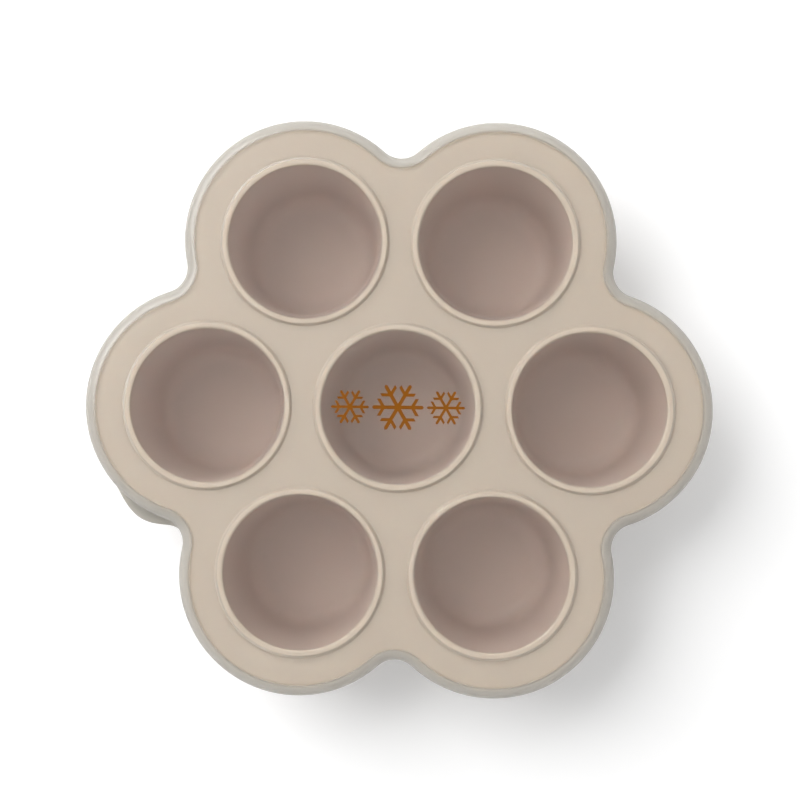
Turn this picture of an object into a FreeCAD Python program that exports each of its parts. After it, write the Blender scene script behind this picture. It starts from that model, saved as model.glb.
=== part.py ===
import FreeCAD, Part
import math
import os

from FreeCAD import Vector

# Freezer tray for baby food: a silicone tray of round cups, and a lid of milky plastic that snaps over its rim.
# Millimetres, +Z up. The origin is on the plane that the cups stand on, under the middle of the centre cup.
# +X runs from the centre cup through the right-hand cup.
#
# The tray is one moulding. It is held here as its deck and its cups, which meet face to face under each lip.

# Cups
mouthRadius = 25.2              # inside, at the top of the lip
floorRadius = 21.6              # inside, where the wall would meet the floor without its round corner
cupDepth = 40.4                 # from the inside floor to the top of the deck
cupWall = 1.8
cupFloor = 2.0
floorCornerRadius = 7.0         # inside
lipHeight = 1.0                 # above the deck
cupGap = 8.0                    # between the lips of neighbouring cups

# Deck, and the rim turned down round it
deckThickness = 2.0
deckBorder = 9.8                # from the lips of the outer cups to the outside of the rim
lobeShift = 1.0                 # the lobes of the rim are centred this far outside the cups
rimValleyRadius = 10.4          # of the hollow between two lobes
rimDrop = 6.0                   # from the top of the deck to the foot of the rim
rimWall = 2.4
rimShoulderRadius = 2.0
rimFillet = 1.2                 # inside, under the deck
rimFootBevel = 0.6

# Lid
lidWall = 1.3
lidShoulderRadius = 4.0         # outside
skirtDraft = 3.0                # degrees, wider at the foot
skirtFootBevel = 0.3
snapBeadHeight = 2.2
snapBeadFlat = 0.6              # the height of the bead's crest
skirtBelowBead = 1.6            # from the snap bead to the foot of the skirt

# Rings on the lid, each a raised channel over the lip of a cup
ringRise = 0.7
ringSideWall = 0.3
ringSideSlope = 0.3             # how far each side leans in over its height

# Lift tab, a thin crescent at the foot of the skirt on the flank of the left-hand lobe
tabReach = 4.0                  # beyond the skirt
tabRoundRadius = 18.0           # of its outline
tabThickness = 1.6
tabDirection = 240.0            # degrees about the centre of the lobe
tabEdgeRadius = 0.5

# Fits between the lid and the tray
rimClearance = 1.4              # from the rim to the inside of the skirt at its foot
snapClearance = 0.3             # from the rim to the snap bead that passes it, and from its foot down to the bead
lipClearance = 0.3              # from a lip to the channel above and beside it

# Levels
deckTop = cupFloor + cupDepth
deckUnderside = deckTop - deckThickness
rimFoot = deckTop - rimDrop
lipTop = deckTop + lipHeight
plateUnderside = lipTop + lipClearance - ringRise
plateTop = plateUnderside + lidWall
beadTop = rimFoot - snapClearance
beadFoot = beadTop - snapBeadHeight
skirtFoot = beadFoot - skirtBelowBead

# The cups in plan: one in the centre and a ring of them round it
outerCups = ["cup_right", "cup_back_right", "cup_back_left", "cup_left", "cup_front_left", "cup_front_right"]
lipRadius = mouthRadius + cupWall
cupTurn = 360.0 / len(outerCups)
cupPitch = (2 * lipRadius + cupGap) / min(1.0, 2 * math.sin(math.radians(cupTurn / 2)))
lobePitch = cupPitch + lobeShift

upward = Vector(0, 0, 1)
samePoint = 1e-6                # points nearer than this are one point


def polar(distance, degrees, height=0.0):
    """The point at a distance and direction from the Z axis."""
    turn = math.radians(degrees)
    return Vector(distance * math.cos(turn), distance * math.sin(turn), height)


def roundedProfile(corners):
    """A face in the XZ plane from corners (across, up, radius), each rounded by its own radius."""
    points = [Vector(across, 0, up) for across, up, _ in corners]
    bends = []
    for index, (_, _, radius) in enumerate(corners):
        corner = points[index]
        back = points[index - 1].sub(corner).normalize()
        ahead = points[(index + 1) % len(points)].sub(corner).normalize()
        half = back.getAngle(ahead) / 2
        start = corner.add(back * (radius / math.tan(half)))
        end = corner.add(ahead * (radius / math.tan(half)))
        inward = back.add(ahead).normalize() if radius > 0 else back
        middle = corner.add(inward * (radius / math.sin(half) - radius))
        bends.append((start, middle, end))
    edges = []
    for index, (start, middle, end) in enumerate(bends):
        if corners[index][2] > 0:
            edges.append(Part.Arc(start, middle, end).toShape())
        following = bends[(index + 1) % len(bends)][0]
        if end.distanceToPoint(following) > samePoint:
            edges.append(Part.makeLine(end, following))
    return Part.Face(Part.Wire(edges))


def revolved(corners):
    """A profile turned all the way round the Z axis."""
    return roundedProfile(corners).revolve(Vector(0, 0, 0), upward, 360)


def turned(face, middleDegrees, halfAngle):
    """A face turned about the Z axis through an angle, half to each side of a direction."""
    solid = face.revolve(Vector(0, 0, 0), upward, 2 * halfAngle)
    solid.rotate(Vector(0, 0, 0), upward, middleDegrees - halfAngle)
    return solid


def joined(pieces):
    """One clean solid from pieces that touch or overlap."""
    return pieces[0].multiFuse(pieces[1:]).removeSplitter()


class Outline:
    """A flower outline: a round lobe outside each outer cup, joined to the next by a hollow valley."""

    def __init__(self, lobeRadius, valleyRadius):
        self.lobeRadius = lobeRadius
        self.valleyRadius = valleyRadius
        halfTurn = math.radians(cupTurn / 2)
        beside = lobePitch * math.sin(halfTurn)
        self.valleyPitch = lobePitch * math.cos(halfTurn) + math.sqrt((lobeRadius + valleyRadius)**2 - beside**2)
        towardsValley = polar(self.valleyPitch, cupTurn / 2).sub(polar(lobePitch, 0))
        self.lobeHalfAngle = math.degrees(math.atan2(towardsValley.y, towardsValley.x))
        self.valleyHalfAngle = self.lobeHalfAngle - cupTurn / 2

    def offset(self, outward):
        """The outline this far outside, with the same centres."""
        return Outline(self.lobeRadius + outward, self.valleyRadius - outward)

    def bends(self):
        """The centre, radius, middle direction and half angle of each arc, going round."""
        arcs = []
        for index in range(len(outerCups)):
            lobeWay = index * cupTurn
            valleyWay = lobeWay + cupTurn / 2
            arcs.append((polar(lobePitch, lobeWay), self.lobeRadius, lobeWay, self.lobeHalfAngle))
            arcs.append((polar(self.valleyPitch, valleyWay), self.valleyRadius, valleyWay + 180, self.valleyHalfAngle))
        return arcs

    def prism(self, bottom, top):
        """The outline filled, between two levels."""
        edges = []
        for centre, radius, way, halfAngle in self.bends():
            ends = [centre.add(polar(radius, way + side * halfAngle, bottom)) for side in (-1, 0, 1)]
            edges.append(Part.Arc(*ends).toShape())
        face = Part.Face(Part.Wire(Part.__sortEdges__(edges)))
        return face.extrude(Vector(0, 0, top - bottom))

    def sweep(self, section):
        """A section of corners (outward, up, radius) carried round the outline, one piece for each arc."""
        lobeFace = roundedProfile([(self.lobeRadius + out, up, radius) for out, up, radius in section])
        valleyFace = roundedProfile([(self.valleyRadius - out, up, radius) for out, up, radius in section])
        pieces = []
        for index, (centre, _, way, halfAngle) in enumerate(self.bends()):
            piece = turned(lobeFace if index % 2 == 0 else valleyFace, way, halfAngle)
            piece.translate(centre)
            pieces.append(piece)
        return pieces


def cupPlaces():
    """The middle of each cup in plan, by the name of its node."""
    places = {"cup_centre": Vector(0, 0, 0)}
    for index, name in enumerate(outerCups):
        places[name] = polar(cupPitch, index * cupTurn)
    return places


def makeCup():
    """A tapered cup with a round floor corner, and a lip rounded over its whole wall."""
    slope = (mouthRadius - floorRadius) / (lipTop - cupFloor)
    outsideFoot = floorRadius + cupWall - slope * cupFloor
    outsideNeck = floorRadius + cupWall + slope * (deckUnderside - cupFloor)
    return revolved([
        (0, 0, 0),
        (outsideFoot, 0, floorCornerRadius + cupWall),
        (outsideNeck, deckUnderside, 0),
        (lipRadius, deckUnderside, 0),
        (lipRadius, lipTop, cupWall / 2),
        (mouthRadius, lipTop, cupWall / 2),
        (floorRadius, cupFloor, floorCornerRadius),
        (0, cupFloor, 0),
    ])


def makeDeck(rimOutline):
    """The flat deck with its turned-down rim, open where the cups hang."""
    plateEdge = -rimWall - rimFillet - rimShoulderRadius
    section = [
        (plateEdge, deckTop, 0),
        (0, deckTop, rimShoulderRadius),
        (0, rimFoot + rimFootBevel, 0),
        (-rimFootBevel, rimFoot, 0),
        (-rimWall + rimFootBevel, rimFoot, 0),
        (-rimWall, rimFoot + rimFootBevel, 0),
        (-rimWall, deckUnderside, rimFillet),
        (plateEdge, deckUnderside, 0),
    ]
    plate = rimOutline.offset(plateEdge).prism(deckUnderside, deckTop)
    holes = []
    for place in cupPlaces().values():
        holes.append(Part.makeCylinder(lipRadius, deckThickness, place.add(Vector(0, 0, deckUnderside))))
    return joined([plate] + rimOutline.sweep(section)).cut(holes)


def ringBand(inner, outer, bottom):
    """A band round a cup's mouth whose sides lean in towards its top."""
    top = bottom + ringRise
    return revolved([
        (inner, bottom, 0),
        (outer, bottom, 0),
        (outer - ringSideSlope, top, 0),
        (inner + ringSideSlope, top, 0),
    ])


def makeTab(lidOutline):
    """The lift tab, which overlaps half of the skirt's wall."""
    lobeCentre = polar(lobePitch, 180)
    centre = lobeCentre.add(polar(lidOutline.lobeRadius + tabReach - tabRoundRadius, tabDirection, skirtFoot))
    disc = Part.makeCylinder(tabRoundRadius, tabThickness, centre)
    disc = disc.makeFillet(tabEdgeRadius, [edge for edge in disc.Edges if edge.Closed])
    return disc.cut(lidOutline.offset(-lidWall / 2).prism(skirtFoot, skirtFoot + tabThickness))


def makeLid(rimOutline):
    """The lid: a flat top with a ring over each cup, a round shoulder, a skirt with a snap bead, and a lift tab."""
    lidOutline = rimOutline.offset(rimClearance + lidWall)
    spread = math.tan(math.radians(skirtDraft))

    def outside(level):
        return -spread * (level - skirtFoot)

    plateEdge = outside(plateTop) - lidShoulderRadius - lidWall
    beadCrest = snapClearance - rimClearance - lidWall
    beadSlant = (snapBeadHeight - snapBeadFlat) / 2
    section = [
        (-skirtFootBevel, skirtFoot, 0),
        (0, skirtFoot + skirtFootBevel, 0),
        (outside(plateTop), plateTop, lidShoulderRadius),
        (plateEdge, plateTop, 0),
        (plateEdge, plateUnderside, 0),
        (outside(plateUnderside) - lidWall, plateUnderside, lidShoulderRadius - lidWall),
        (outside(beadTop) - lidWall, beadTop, 0),
        (beadCrest, beadTop - beadSlant, 0),
        (beadCrest, beadFoot + beadSlant, 0),
        (outside(beadFoot) - lidWall, beadFoot, 0),
        (outside(skirtFoot) - lidWall, skirtFoot, 0),
    ]
    plate = lidOutline.offset(plateEdge).prism(plateUnderside, plateTop)
    channelInside = mouthRadius - lipClearance
    channelOutside = lipRadius + lipClearance
    ring = ringBand(channelInside - ringSideWall, channelOutside + ringSideWall, plateTop)
    channel = ringBand(channelInside, channelOutside, plateUnderside)
    rings = [ring.translated(place) for place in cupPlaces().values()]
    channels = [channel.translated(place) for place in cupPlaces().values()]
    shell = joined([plate] + lidOutline.sweep(section))
    return joined([shell, makeTab(lidOutline)] + rings).cut(channels)


def writeNode(name, shape):
    if len(shape.Solids) != 1 or not shape.isValid():
        raise ValueError(name + " is not one sound solid")
    shape.Solids[0].exportStep("parts/" + name + ".step")
    print(name, "holds", round(shape.Volume / 1000, 1), "ml of material")


os.makedirs("parts", exist_ok=True)
rim = Outline(lipRadius + deckBorder, rimValleyRadius)
writeNode("tray_deck", makeDeck(rim))
cup = makeCup()
for cupName, cupPlace in cupPlaces().items():
    writeNode(cupName, cup.translated(cupPlace))
writeNode("lid", makeLid(rim))
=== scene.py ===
import math
import bmesh
import bpy
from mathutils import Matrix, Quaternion, Vector


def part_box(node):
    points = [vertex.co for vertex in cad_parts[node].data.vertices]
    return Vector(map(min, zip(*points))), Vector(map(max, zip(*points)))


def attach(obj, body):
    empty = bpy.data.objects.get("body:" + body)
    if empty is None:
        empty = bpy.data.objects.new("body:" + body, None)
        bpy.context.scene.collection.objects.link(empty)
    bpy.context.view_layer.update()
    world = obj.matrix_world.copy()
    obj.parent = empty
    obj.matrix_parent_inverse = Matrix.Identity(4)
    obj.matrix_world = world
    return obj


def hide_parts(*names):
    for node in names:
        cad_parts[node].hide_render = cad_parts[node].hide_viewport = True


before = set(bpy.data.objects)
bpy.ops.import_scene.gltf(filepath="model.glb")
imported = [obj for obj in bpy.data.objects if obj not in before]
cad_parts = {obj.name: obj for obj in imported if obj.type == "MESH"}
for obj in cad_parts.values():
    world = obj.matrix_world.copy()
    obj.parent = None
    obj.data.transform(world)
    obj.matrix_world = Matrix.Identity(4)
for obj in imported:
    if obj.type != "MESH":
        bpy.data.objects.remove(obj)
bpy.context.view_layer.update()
print("frame loaded")

mm = 0.001
touch = 0.01 * mm                                   # places nearer than this count as one
upAxis = Vector((0, 0, 1))
smoothAngle = math.radians(40)                      # edges that turn more than this stay sharp

# places shared by the tray and the lid, read from the frame
cupNames = ["cup_centre", "cup_right", "cup_back_right", "cup_back_left", "cup_left", "cup_front_left",
            "cup_front_right"]
cupCentres = [(Vector(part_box(name)[0]) + Vector(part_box(name)[1])) / 2 for name in cupNames]
for centre in cupCentres:
    centre.z = 0
deckLow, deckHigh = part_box("tray_deck")
lidLow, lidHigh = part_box("lid")
lobeShift = 1.0 * mm                                # the lobes stand a little outside the cups
plan = {
    "lobes": len(cupNames) - 1,
    "lobePitch": cupCentres[1].x + lobeShift,
    "lipTop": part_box("cup_centre")[1][2],
    "deckTop": deckHigh[2],
    "rimFoot": deckLow[2],
    "lidTop": lidHigh[2],
    "skirtFoot": lidLow[2],
}


def polar(distance, degrees):
    turn = math.radians(degrees)
    return Vector((distance * math.cos(turn), distance * math.sin(turn), 0))


def pick(obj):                                      # the one object that the next operators act on
    if bpy.context.object and bpy.context.object.mode == "EDIT":
        bpy.ops.object.mode_set(mode="OBJECT")
    bpy.ops.object.select_all(action="DESELECT")
    obj.select_set(True)
    bpy.context.view_layer.objects.active = obj


def editMode(on=True):
    bpy.ops.object.mode_set(mode="EDIT" if on else "OBJECT")


def selectVerts(obj, wanted):                       # in edit mode, by place
    bpy.ops.mesh.select_mode(type="VERT")
    bpy.ops.mesh.select_all(action="DESELECT")
    mesh = bmesh.from_edit_mesh(obj.data)
    for vert in mesh.verts:
        vert.select = wanted(vert)
    mesh.select_flush(True)
    bmesh.update_edit_mesh(obj.data)


def selectOpenEdges(obj, wanted):                   # in edit mode, the edges with one face whose ends pass
    bpy.ops.mesh.select_mode(type="EDGE")
    bpy.ops.mesh.select_all(action="DESELECT")
    mesh = bmesh.from_edit_mesh(obj.data)
    for edge in mesh.edges:
        edge.select = edge.is_boundary and all(wanted(vert.co) for vert in edge.verts)
    bmesh.update_edit_mesh(obj.data)


def roundedChain(corners, turnSteps):               # corners are (across, up, radius)
    points = []
    for index, (across, up, radius) in enumerate(corners):
        corner = Vector((across, 0, up))
        if radius == 0:
            points.append(corner)
            continue
        back = (Vector((corners[index - 1][0], 0, corners[index - 1][1])) - corner).normalized()
        ahead = (Vector((corners[index + 1][0], 0, corners[index + 1][1])) - corner).normalized()
        half = back.angle(ahead) / 2
        centre = corner + (back + ahead).normalized() * (radius / math.sin(half))
        start = corner + back * (radius / math.tan(half)) - centre
        sweep = math.pi - 2 * half
        axis = start.cross(corner - centre).normalized()
        steps = max(2, round(turnSteps * sweep / (math.pi / 2)))
        for step in range(steps + 1):
            points.append(centre + Quaternion(axis, sweep * step / steps) @ start)
    return points


def drawChain(name, points):                        # one vertex extruded from point to point
    bpy.ops.mesh.primitive_plane_add(size=mm, location=(0, 0, 0))
    chain = bpy.context.object
    chain.name = name
    chain.data.name = name
    editMode()
    bpy.ops.mesh.select_mode(type="VERT")
    bpy.ops.mesh.select_all(action="SELECT")
    bpy.ops.mesh.merge(type="CENTER")
    bpy.ops.transform.translate(value=points[0])
    for here, there in zip(points, points[1:]):
        bpy.ops.mesh.extrude_region_move(TRANSFORM_OT_translate={"value": there - here})
    bpy.ops.mesh.select_all(action="SELECT")
    return chain


def closeUp(reach=0.002 * mm):                      # merges what meets and turns every face outwards
    bpy.ops.mesh.select_all(action="SELECT")
    bpy.ops.mesh.remove_doubles(threshold=reach)
    bpy.ops.mesh.normals_make_consistent(inside=False)


def spinBy(angle, centre, steps):                   # with no window, spin turns the other way
    bpy.ops.mesh.spin(steps=steps, angle=-angle, center=centre, axis=upAxis)


def noteRun(chain, points):                         # each point's way along the section from its nearer end
    along = [0.0]
    for here, there in zip(points, points[1:]):
        along.append(along[-1] + (there - here).length)
    mesh = bmesh.from_edit_mesh(chain.data)
    run = mesh.verts.layers.float.new("run")
    for vert in mesh.verts:
        place = min(range(len(points)), key=lambda index: (points[index] - vert.co).length)
        vert[run] = min(along[place], along[-1] - along[place])
    bmesh.update_edit_mesh(chain.data)


def spinRound(name, corners, turnSteps, roundSteps):    # a section turned all the way round the Z axis
    piece = drawChain(name, roundedChain(corners, turnSteps))
    spinBy(2 * math.pi, (0, 0, 0), roundSteps)
    closeUp()
    editMode(False)
    return piece


def spinFlower(name, corners, lobeRadius, sizes):
    # a section carried round the flower outline: over each lobe one way, through each valley the other way
    halfTurn = 180 / plan["lobes"]
    beside = plan["lobePitch"] * math.sin(math.radians(halfTurn))
    reach = lobeRadius + sizes["valleyRound"]
    valleyPitch = plan["lobePitch"] * math.cos(math.radians(halfTurn)) + math.sqrt(reach ** 2 - beside ** 2)
    toValley = polar(valleyPitch, halfTurn) - polar(plan["lobePitch"], 0)
    lobeHalf = math.atan2(toValley.y, toValley.x)
    valleyHalf = lobeHalf - math.radians(halfTurn)
    points = []
    for point in roundedChain(corners, sizes["turnSteps"]):
        side = Quaternion(upAxis, -lobeHalf) @ Vector((lobeRadius + point.x, 0, 0))
        points.append(Vector((plan["lobePitch"] + side.x, side.y, point.z)))
    piece = drawChain(name, points)
    noteRun(piece, points)
    for index in range(plan["lobes"]):
        way = index * 2 * halfTurn
        spinBy(2 * lobeHalf, polar(plan["lobePitch"], way), sizes["lobeSteps"])
        spinBy(-2 * valleyHalf, polar(valleyPitch, way + halfTurn), sizes["valleySteps"])
    closeUp()
    editMode(False)
    return piece


def copyTo(piece, name, place):                     # a copy with its own mesh, its place in the mesh
    pick(piece)
    bpy.ops.object.duplicate()
    copy = bpy.context.object
    copy.name = name
    copy.data.name = name
    copy.location = place
    bpy.ops.object.transform_apply(location=True, rotation=False, scale=False)
    return copy


def joinAll(name, pieces):
    pick(pieces[0])
    for piece in pieces:
        piece.select_set(True)
    bpy.ops.object.join()
    whole = bpy.context.object
    whole.name = name
    whole.data.name = name
    return whole


# the silicone tray: seven cups that hang from one flower-shaped deck
tray = {
    "mouthRadius": 25.2 * mm,
    "floorRadius": 21.6 * mm,
    "wall": 1.8 * mm,
    "floor": 2.0 * mm,
    "floorRound": 7.0 * mm,
    "lipRound": 0.4 * mm,
    "lipFillet": 0.55 * mm,        # where the lip rises from the deck
    "deck": 2.0 * mm,
    "neckFillet": 1.5 * mm,        # under the deck, round each cup
    "neckSpread": 1.1,             # how much wider the leaning wall makes that fillet
    "flat": 0.3 * mm,              # narrow flat edge that keeps the deck's shading flat
    "rimWall": 2.4 * mm,
    "rimShoulder": 2.0 * mm,
    "rimInside": 1.2 * mm,
    "rimFootRound": 0.9 * mm,
    "valleyRound": 10.4 * mm,      # hollow round of the rim between two lobes
    "cupTurnSteps": 8,             # steps in a quarter turn of a cup's rounds
    "turnSteps": 6,                # and of the rim's
    "roundSteps": 96,
    "lobeSteps": 40,
    "valleySteps": 18,
}


def makeTrayMesh():
    deckTop = plan["deckTop"]
    deckUnder = deckTop - tray["deck"]
    lip = tray["mouthRadius"] + tray["wall"]
    lean = (tray["mouthRadius"] - tray["floorRadius"]) / (plan["lipTop"] - tray["floor"])
    outsideFoot = tray["floorRadius"] + tray["wall"] - lean * tray["floor"]
    outsideNeck = tray["floorRadius"] + tray["wall"] + lean * (deckUnder - tray["floor"])
    inside = [
        (lip + tray["lipFillet"] + tray["flat"], deckTop, 0),
        (lip, deckTop, tray["lipFillet"]),
        (lip, plan["lipTop"], tray["lipRound"]),
        (tray["mouthRadius"], plan["lipTop"], tray["lipRound"]),
        (tray["floorRadius"], tray["floor"], tray["floorRound"]),
        (0, tray["floor"], 0),
    ]
    outside = [
        (outsideNeck + tray["neckFillet"] * tray["neckSpread"] + tray["flat"], deckUnder, 0),
        (outsideNeck, deckUnder, tray["neckFillet"]),
        (outsideFoot, 0, tray["floorRound"] + tray["wall"]),
        (0, 0, 0),
    ]
    upper = spinRound("cupInside", inside, tray["cupTurnSteps"], tray["roundSteps"])
    # this depth also drives the painted shade inside the cups
    hollow = upper.data.attributes.new("hollow", "FLOAT", "POINT")      # how deep a point lies in its cup
    for vert, entry in zip(upper.data.vertices, hollow.data):
        if vert.co.xy.length < lip - tray["wall"] / 2:
            entry.value = plan["lipTop"] - vert.co.z
    lower = spinRound("cupOutside", outside, tray["cupTurnSteps"], tray["roundSteps"])
    cup = joinAll("cup", [upper, lower])
    parts = [copyTo(cup, "cup", place) for place in cupCentres]
    bpy.data.objects.remove(cup)
    rimRadius = deckHigh[0] - plan["lobePitch"]
    edge = -tray["rimWall"] - tray["rimInside"] - tray["rimShoulder"]
    rimSection = [
        (edge, deckTop, 0),
        (edge + tray["flat"], deckTop, 0),
        (0, deckTop, tray["rimShoulder"]),
        (0, plan["rimFoot"], tray["rimFootRound"]),
        (-tray["rimWall"], plan["rimFoot"], tray["rimFootRound"]),
        (-tray["rimWall"], deckUnder, tray["rimInside"]),
        (edge + tray["flat"], deckUnder, 0),
        (edge, deckUnder, 0),
    ]
    rim = spinFlower("rim", rimSection, rimRadius, tray)
    whole = joinAll("silicone_tray", [rim] + parts)
    editMode()
    for level in (deckTop, deckUnder):
        selectOpenEdges(whole, lambda place: abs(place.z - level) < touch)
        bpy.ops.mesh.fill(use_beauty=False)
    closeUp()
    editMode(False)
    return whole


siliconeTray = makeTrayMesh()
print("tray modelled", len(siliconeTray.data.polygons), "faces")


# the lid: one thin shell with a raised ring over every cup
lid = {
    "wall": 1.3 * mm,
    "lipClearance": 0.3 * mm,      # between a cup's lip and the channel over it
    "shoulder": 4.0 * mm,
    "draft": 3.0,                  # degrees, the skirt widens downwards
    "footRound": 0.3 * mm,
    "valleyRound": 7.7 * mm,
    "flat": 0.3 * mm,
    "border": 2.0 * mm,            # of flat plate that is drawn with the shoulder
    "rise": 0.7 * mm,              # of the rings and of the channels under them
    "channelInside": 24.75 * mm,
    "channelOutside": 27.45 * mm,
    "ringWall": 0.45 * mm,
    "ringSlope": 0.8 * mm,
    "ringRound": 0.25 * mm,
    "beadTop": 3.8 * mm,           # above the skirt's foot
    "beadBottom": 1.6 * mm,
    "beadCrest": 2.4 * mm,         # in from the skirt's foot
    "beadFlat": 0.6 * mm,
    "beadRound": 0.2 * mm,
    "beadFillet": 0.3 * mm,        # where the bead meets the skirt
    "turnSteps": 10,               # steps in a quarter turn of the skirt's rounds
    "ringTurnSteps": 6,
    "roundSteps": 96,
    "lobeSteps": 72,
    "valleySteps": 18,
}

tab = {
    "lobe": polar(plan["lobePitch"], 180),
    "lobeReach": 41.0 * mm,        # its edge lies no farther from the middle of that lobe
    "facing": 239.0,               # degrees, about the middle of the left-hand lobe
    "reach": 4.0 * mm,
    "halfWidth": 19.0 * mm,        # its sides fade softly into the skirt
    # height above the skirt's foot, and how far short of the full reach the edge is there
    "rows": [(0.09 * mm, 0.2 * mm), (0.3 * mm, 0.0), (1.15 * mm, 0.0), (1.45 * mm, 0.13 * mm),
             (1.6 * mm, 0.45 * mm)],
    "rowReach": 0.02 * mm,         # how near to that height a point of the row lies
    "stillLoop": 0.05 * mm,        # above the last row, a loop that stays where it is
}


def ringCorners(inner, outer, bottom):              # a low band and the flat disc inside it
    top = bottom + lid["rise"]
    return [
        (outer + lid["ringRound"] + lid["flat"], bottom, 0),
        (outer, bottom, lid["ringRound"]),
        (outer - lid["ringSlope"], top, lid["ringRound"]),
        (inner + lid["ringSlope"], top, lid["ringRound"]),
        (inner, bottom, lid["ringRound"]),
        (inner - lid["ringRound"] - lid["flat"], bottom, 0),
        (0, bottom, 0),
    ]


def shapeTab(shell):                                # draws the foot of the skirt out into the lift tab
    wayOut = polar(1, tab["facing"])
    editMode()
    for height, short in tab["rows"]:
        level = plan["skirtFoot"] + height
        selectVerts(shell, lambda vert: abs(vert.co.z - level) < tab["rowReach"])
        bpy.ops.mesh.hide(unselected=True)
        near = [vert for vert in bmesh.from_edit_mesh(shell.data).verts
                if not vert.hide and (vert.co - tab["lobe"]).xy.length < tab["lobeReach"]]
        tip = max(near, key=lambda vert: (vert.co - tab["lobe"]).normalized().dot(wayOut)).co.copy()
        selectVerts(shell, lambda vert: not vert.hide and (vert.co - tip).length < touch)
        bpy.ops.transform.translate(value=wayOut * (tab["reach"] - short), use_proportional_edit=True,
                                    proportional_edit_falloff="SMOOTH", proportional_size=tab["halfWidth"])
        bpy.ops.mesh.reveal(select=False)
    editMode(False)


def makeLidMesh():
    spread = math.tan(math.radians(lid["draft"]))
    foot, top = plan["skirtFoot"], plan["lipTop"] + lid["lipClearance"] - lid["rise"] + lid["wall"]
    under = top - lid["wall"]

    def outside(level):
        return -spread * (level - foot)

    edge = outside(top) - lid["shoulder"] - lid["border"]
    beadTop, beadBottom = foot + lid["beadTop"], foot + lid["beadBottom"]
    beadSlant = (beadTop - beadBottom - lid["beadFlat"]) / 2
    levels = [foot + height for height, short in reversed(tab["rows"][2:])]
    section = [(edge, top, 0), (edge + lid["flat"], top, 0), (outside(top), top, lid["shoulder"])]
    section += [(outside(level), level, 0) for level in [levels[0] + tab["stillLoop"]] + levels]
    section += [
        (0, foot, lid["footRound"]),
        (outside(foot) - lid["wall"], foot, 0),
        (outside(beadBottom) - lid["wall"], beadBottom, lid["beadFillet"]),
        (-lid["beadCrest"], beadBottom + beadSlant, lid["beadRound"]),
        (-lid["beadCrest"], beadTop - beadSlant, lid["beadRound"]),
        (outside(beadTop) - lid["wall"], beadTop, lid["beadFillet"]),
        (outside(under) - lid["wall"], under, lid["shoulder"] - lid["wall"]),
        (edge + lid["flat"], under, 0),
        (edge, under, 0),
    ]
    skirtRadius = lidHigh[0] - plan["lobePitch"]
    skirt = spinFlower("skirt", section, skirtRadius, lid)
    shapeTab(skirt)
    ringInside = lid["channelInside"] - lid["ringWall"]
    ringOutside = lid["channelOutside"] + lid["ringWall"]
    above = spinRound("ring", ringCorners(ringInside, ringOutside, top), lid["ringTurnSteps"],
                      lid["roundSteps"])
    below = spinRound("channel", ringCorners(lid["channelInside"], lid["channelOutside"], under),
                      lid["ringTurnSteps"], lid["roundSteps"])
    ring = joinAll("ring", [above, below])
    rings = [copyTo(ring, "ring", place) for place in cupCentres]
    bpy.data.objects.remove(ring)
    whole = joinAll("lid_shell", [skirt] + rings)
    editMode()
    for level in (top, under):
        selectOpenEdges(whole, lambda place: abs(place.z - level) < touch)
        bpy.ops.mesh.fill(use_beauty=False)
    closeUp()
    editMode(False)
    bpy.ops.object.shade_smooth_by_angle(angle=smoothAngle)
    return whole


lidShell = makeLidMesh()
print("lid modelled", len(lidShell.data.polygons), "faces")


# plain frost stars printed in a row on the flat of the lid, over the middle cup
stars = {
    "inkDepth": 0.05 * mm,
    "places": [(-15.5 * mm, 6.2 * mm), (0.0, 8.4 * mm), (15.5 * mm, 6.2 * mm)],    # across, radius
    "arms": 6,
    "armWidth": 0.07,              # half widths and places as shares of the radius
    "tipStart": 0.94,              # where the arm narrows to its tip
    "branches": [(0.52, 0.30)],    # where each pair leaves the arm, and its length
    "branchWidth": 0.14,
    "branchLean": 60.0,            # degrees from the arm
    "weld": 0.001 * mm,            # finer than elsewhere, for the small corners
}


def makeStar(radius):                               # one arm drawn as an outline, then turned round
    arm = stars["armWidth"]
    wide = Vector((stars["branchWidth"], 0, 0))
    lean = polar(1, stars["branchLean"])
    flank = [Vector((arm / math.tan(math.pi / stars["arms"]), arm, 0))]
    for start, length in stars["branches"]:
        root = Vector((start, arm, 0))
        tip = root + lean * length
        flank += [root, tip, tip + wide, root + wide]
    flank.append(Vector((stars["tipStart"], arm, 0)))
    outline = [Vector((0, 0, 0))] + flank + [Vector((1, 0, 0))]
    outline += [Vector((point.x, -point.y, 0)) for point in reversed(flank)] + [Vector((0, 0, 0))]
    star = drawChain("star", [point * radius for point in outline])
    bpy.ops.mesh.remove_doubles(threshold=stars["weld"])
    bpy.ops.mesh.select_all(action="SELECT")
    bpy.ops.mesh.edge_face_add()
    bpy.ops.mesh.spin(steps=stars["arms"], angle=2 * math.pi, center=(0, 0, 0), axis=upAxis, dupli=True)
    closeUp(stars["weld"])
    bpy.ops.mesh.extrude_region_move(TRANSFORM_OT_translate={"value": (0, 0, stars["inkDepth"])})
    closeUp(stars["weld"])
    editMode(False)
    return star


def makeFrostStars():
    made = []
    for across, radius in stars["places"]:
        star = makeStar(radius)
        star.location = (across, 0, plan["lidTop"] - lid["rise"])
        bpy.ops.object.transform_apply(location=True, rotation=False, scale=False)
        made.append(star)
    return joinAll("frost_stars", made)


frostStars = makeFrostStars()
print("print modelled", len(frostStars.data.polygons), "faces")


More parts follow.
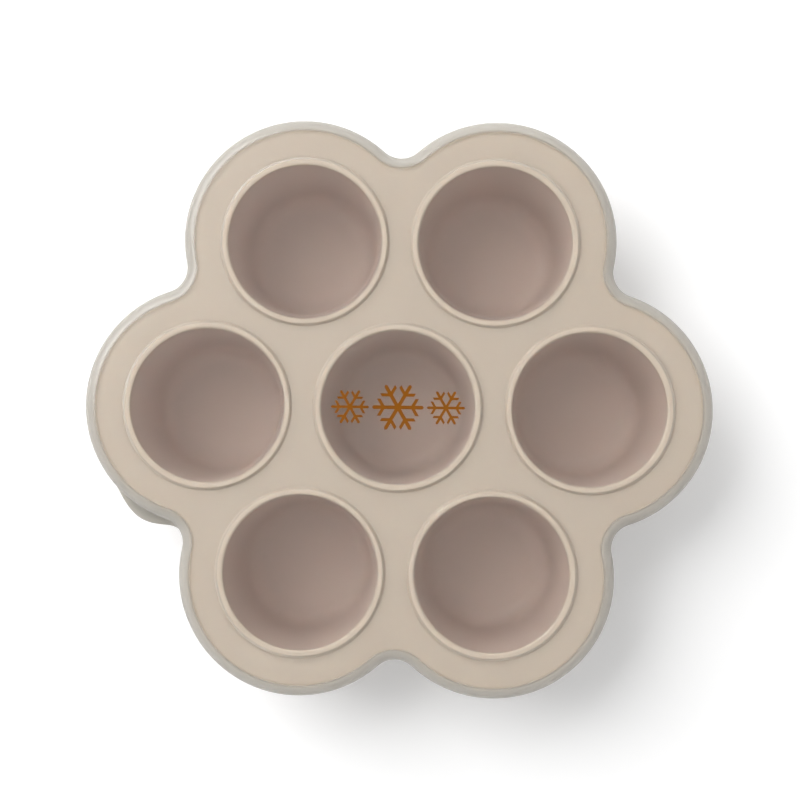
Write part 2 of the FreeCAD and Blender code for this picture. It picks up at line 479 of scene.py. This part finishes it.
# the finishes
class Signal:                                       # a node's output that takes part in sums
    def __init__(self, finish, socket):
        self.finish = finish
        self.socket = socket

    def maths(self, operation, first, second):
        return self.finish.node("Math", {"operation": operation}, {0: first, 1: second})

    def __add__(self, other):
        return self.maths("ADD", self, other)

    def __mul__(self, other):
        return self.maths("MULTIPLY", self, other)

    def __sub__(self, other):
        return self.maths("SUBTRACT", self, other)

    def __rsub__(self, other):
        return self.maths("SUBTRACT", other, self)

    __radd__ = __add__
    __rmul__ = __mul__


class Finish:                                       # the nodes of one material, or of the world
    def __init__(self, owner):
        self.owner = owner
        self.owner.use_nodes = True
        self.tree = self.owner.node_tree
        self.tree.nodes.clear()

    def node(self, kind, settings=None, sockets=None, output=0):
        made = self.tree.nodes.new("ShaderNode" + kind)
        for name, value in (settings or {}).items():
            setattr(made, name, value)
        for name, value in (sockets or {}).items():
            if isinstance(value, Signal):
                self.tree.links.new(value.socket, made.inputs[name])
            else:
                made.inputs[name].default_value = value
        return Signal(self, made.outputs[output]) if made.outputs else None

    def place(self):
        return self.node("TexCoord", output="Object")

    def noise(self, scale, detail):
        return self.node("TexNoise", sockets={"Vector": self.place(), "Scale": scale, "Detail": detail})

    def between(self, value, low, high):            # 0 below low, 1 above high, soft between
        return self.node("MapRange", {"interpolation_type": "SMOOTHSTEP"},
                         {"Value": value, "From Min": low, "From Max": high})

    def blend(self, factor, first, second):         # two colours
        return self.node("Mix", {"data_type": "RGBA"}, {0: factor, 6: first, 7: second}, output=2)

    def bump(self, height, distance, strength):
        return self.node("Bump", sockets={"Height": height, "Distance": distance, "Strength": strength})

    def seen(self):                                 # 1 for what is seen directly, in gloss or through plastic
        camera, glossy, through = [self.node("LightPath", output="Is " + kind + " Ray")
                                   for kind in ("Camera", "Glossy", "Transmission")]
        either = self.node("Math", {"operation": "MAXIMUM"}, {0: camera, 1: glossy})
        return self.node("Math", {"operation": "MAXIMUM"}, {0: either, 1: through})

    def surface(self, shader):
        self.node("OutputMaterial", sockets={"Surface": shader})
        return self.owner


def newFinish(name):
    return Finish(bpy.data.materials.new(name))


def paint(piece, material):
    piece.data.materials.clear()
    piece.data.materials.append(material)


siliconeLook = {
    "colour": (0.485, 0.403, 0.322, 1),
    # painted light: the lip tops are drawn a little lighter than the deck, for the light they catch close
    # under the lid
    "paintedLipLightColour": (0.51, 0.42, 0.332, 1),
    "paintedLipLightRun": (0.2 * mm, -0.3 * mm),                # starts above the deck, full just below the lip's top
    # painted shade inside the cups: walls and floor drawn darker and more mauve by depth, for the shade and
    # the light bounced between the cup walls
    "paintedCupShadeColour": (0.52, 0.40, 0.335, 1),           # inside the cups
    "paintedCupShadeRun": (0.2 * mm, 1.4 * mm),                # below the lip's top
    "mottle": (45.0, 3.0),                          # scale and detail
    "mottleColour": (0.42, 0.33, 0.26, 1),
    "mottleRange": (0.35, 0.7),
    "mottleShare": 0.05,
    "grain": (2600.0, 1.0),
    "grainDepth": 0.05 * mm,
    "grainStrength": 0.35,
    "roughness": 0.62,
    "mottleSwing": 0.12,           # of the roughness
    "grainSwing": 0.1,
    "shine": 0.35,
    "softness": 0.12,              # how much light the silicone lets in below its skin
    "softDepth": 4.0 * mm,
    "softSpread": (1.0, 0.6, 0.4),                  # how far red, green and blue go in
}


def siliconeFinish():
    look = newFinish("silicone_matte")
    height = look.node("SeparateXYZ", sockets={"Vector": look.place()}, output="Z")
    # painted light on the lip tops, blended in by height above the deck
    above, below = siliconeLook["paintedLipLightRun"]
    lip = look.between(height, plan["deckTop"] + above, plan["lipTop"] + below)
    # painted shade inside the cups, by depth below the lip's top
    hollow = look.node("Attribute", {"attribute_name": "hollow"}, output="Fac")
    deep = look.between(hollow, *siliconeLook["paintedCupShadeRun"])
    mottle = look.noise(*siliconeLook["mottle"])
    grain = look.noise(*siliconeLook["grain"])
    spots = look.between(mottle, *siliconeLook["mottleRange"]) * siliconeLook["mottleShare"]
    colour = look.blend(deep, siliconeLook["colour"], siliconeLook["paintedCupShadeColour"])
    colour = look.blend(lip, colour, siliconeLook["paintedLipLightColour"])
    colour = look.blend(spots, colour, siliconeLook["mottleColour"])
    roughness = siliconeLook["roughness"] + (mottle - 0.5) * siliconeLook["mottleSwing"]
    roughness = roughness + (grain - 0.5) * siliconeLook["grainSwing"]
    normal = look.bump(grain, siliconeLook["grainDepth"], siliconeLook["grainStrength"])
    shader = look.node("BsdfPrincipled", sockets={
        "Base Color": colour, "Roughness": roughness, "Normal": normal,
        "Subsurface Weight": siliconeLook["softness"], "Subsurface Scale": siliconeLook["softDepth"],
        "Subsurface Radius": siliconeLook["softSpread"], "Specular IOR Level": siliconeLook["shine"]})
    return look.surface(shader)


lidLook = {
    "colour": (0.995, 1.0, 0.995, 1),
    "clearness": 0.99,
    "roughness": 0.24,
    "haze": (30.0, 3.0),           # scale and detail
    "hazeSwing": 0.03,             # of the roughness
    "ripple": (14.0, 1.0),
    "rippleDepth": 0.2 * mm,
    "rippleStrength": 0.15,
    "milk": (0.73, 0.705, 0.655, 1),
    "milkGlow": 0.5,               # how much of the milk's light comes from its far side
    "milkRoughness": 0.4,
    "milkClearness": 0.3,
    "shoulderShare": 0.72,         # of milk, in the shoulder, which is seen along its length from above
    "skirtShare": 0.35,
    "footShare": 0.8,              # in the foot and the tab
    # along the section, where the milk starts and where it is full
    "shoulderRun": (2.0 * mm, 3.3 * mm),
    "skirtRun": (6.2 * mm, 9.7 * mm),               # where it thins out again
    "footRun": (13.4 * mm, 15.0 * mm),
    "ior": 1.3,
    "shine": 0.3,
    "gloss": 1.0,                  # of the shoulder and the skirt
    "glossRoughness": 0.05,
    "glossIor": 1.65,
}


def lidFinish():
    look = newFinish("lid_milky_plastic")
    run = look.node("Attribute", {"attribute_name": "run"}, output="Fac")
    shoulder = look.between(run, *lidLook["shoulderRun"])
    skirt = look.between(run, *lidLook["skirtRun"])
    foot = look.between(run, *lidLook["footRun"])
    haze = look.noise(*lidLook["haze"])
    ripple = look.noise(*lidLook["ripple"])
    normal = look.bump(ripple, lidLook["rippleDepth"], lidLook["rippleStrength"])
    roughness = lidLook["roughness"] + (haze - 0.5) * lidLook["hazeSwing"]
    clear = look.node("BsdfPrincipled", sockets={
        "Base Color": lidLook["colour"], "Roughness": roughness, "Normal": normal, "IOR": lidLook["ior"],
        "Specular IOR Level": lidLook["shine"], "Transmission Weight": lidLook["clearness"]})
    skin = look.node("BsdfPrincipled", sockets={
        "Base Color": lidLook["milk"], "Roughness": lidLook["milkRoughness"], "Normal": normal,
        "IOR": lidLook["ior"], "Specular IOR Level": lidLook["shine"],
        "Transmission Weight": lidLook["milkClearness"], "Coat Weight": lidLook["gloss"],
        "Coat Roughness": lidLook["glossRoughness"], "Coat IOR": lidLook["glossIor"]})
    glow = look.node("BsdfTranslucent", sockets={"Color": lidLook["milk"], "Normal": normal})
    milk = look.node("MixShader", sockets={0: lidLook["milkGlow"], 1: skin, 2: glow})
    share = shoulder * lidLook["shoulderShare"] - skirt * (lidLook["shoulderShare"] - lidLook["skirtShare"])
    share = share + foot * (lidLook["footShare"] - lidLook["skirtShare"])
    return look.surface(look.node("MixShader", sockets={0: share, 1: clear, 2: milk}))


inkLook = {
    "colour": (0.25, 0.08, 0.003, 1),
    "thinColour": (0.33, 0.11, 0.008, 1),           # where the ink lies thinner
    "thinShare": 0.2,
    "patches": (900.0, 2.0),       # scale and detail
    "patchRange": (0.3, 0.8),
    "roughness": 0.35,
    "patchSwing": 0.15,            # of the roughness
    "shine": 0.06,
}


def inkFinish():
    look = newFinish("amber_ink")
    patchy = look.noise(*inkLook["patches"])
    thin = look.between(patchy, *inkLook["patchRange"]) * inkLook["thinShare"]
    shader = look.node("BsdfPrincipled", sockets={
        "Base Color": look.blend(thin, inkLook["colour"], inkLook["thinColour"]),
        "Roughness": inkLook["roughness"] + patchy * inkLook["patchSwing"],
        "Specular IOR Level": inkLook["shine"]})
    return look.surface(shader)


paint(siliconeTray, siliconeFinish())
paint(lidShell, lidFinish())
paint(frostStars, inkFinish())
pick(siliconeTray)
bpy.ops.object.shade_smooth_by_angle(angle=smoothAngle)
print("finishes made")


# what rides with what
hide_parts("tray_deck", *cupNames)
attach(siliconeTray, "tray")
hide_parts("lid")
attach(lidShell, "lid")
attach(frostStars, "lid")


# the stage, the lamps, the room and the camera
stage = {
    "floorSize": 1.0,
    "floorColour": (0.86, 0.86, 0.86, 1),
    "floorRoughness": 0.9,
    "floorLift": 0.30,             # added for the camera, so that the lit floor is white
    "floorDrop": 0.02 * mm,        # keeps it out of the plane of the cups' bases
    "lamps": [                     # name, place, size, power
        ("key_light", (-1.08, 0.78, 1.52), 1.42, 39.0),
        ("back_light", (0.0, 0.66, 0.42), 0.6, 1.1),
    ],
    "roomStrength": 0.33,          # the light that the room gives, whose walls are seen as white
}

view = {
    "place": (8.16 * mm, -10.46 * mm, 473.5 * mm),
    "turn": (1.728, 0.98, 0.731),  # degrees
    "lens": 59.85,
    "sensor": 36.0,
    "nearest": 10.0 * mm,
}


def floorFinish():
    look = newFinish("white_floor")
    shader = look.node("BsdfPrincipled", sockets={
        "Base Color": stage["floorColour"], "Roughness": stage["floorRoughness"], "Specular IOR Level": 0.0,
        "Emission Color": (1, 1, 1, 1), "Emission Strength": look.seen() * stage["floorLift"]})
    return look.surface(shader)


def lightRoom():
    world = bpy.data.worlds.new("soft_room")
    look = Finish(world)
    strength = look.seen() * (1 - stage["roomStrength"]) + stage["roomStrength"]
    glow = look.node("Background", sockets={"Color": (1, 1, 1, 1), "Strength": strength})
    look.node("OutputWorld", sockets={"Surface": glow})
    bpy.context.scene.world = world


def makeStage():
    bpy.ops.object.select_all(action="DESELECT")
    bpy.ops.mesh.primitive_plane_add(size=stage["floorSize"], location=(0, 0, -stage["floorDrop"]))
    floor = bpy.context.object
    floor.name = "floor"
    paint(floor, floorFinish())
    for name, place, size, power in stage["lamps"]:
        bpy.ops.object.light_add(type="AREA", location=place)
        lamp = bpy.context.object
        lamp.name = name
        lamp.data.size = size
        lamp.data.energy = power
        lamp.rotation_euler = (-Vector(place)).to_track_quat("-Z", "Y").to_euler()


def makeCamera():
    bpy.ops.object.camera_add(location=view["place"], rotation=[math.radians(turn) for turn in view["turn"]])
    camera = bpy.context.object
    camera.name = "camera"
    camera.data.lens = view["lens"]
    camera.data.sensor_width = view["sensor"]
    camera.data.clip_start = view["nearest"]
    bpy.context.scene.camera = camera


makeStage()
lightRoom()
makeCamera()
bpy.context.scene.view_settings.view_transform = "Standard"
print("stage set")
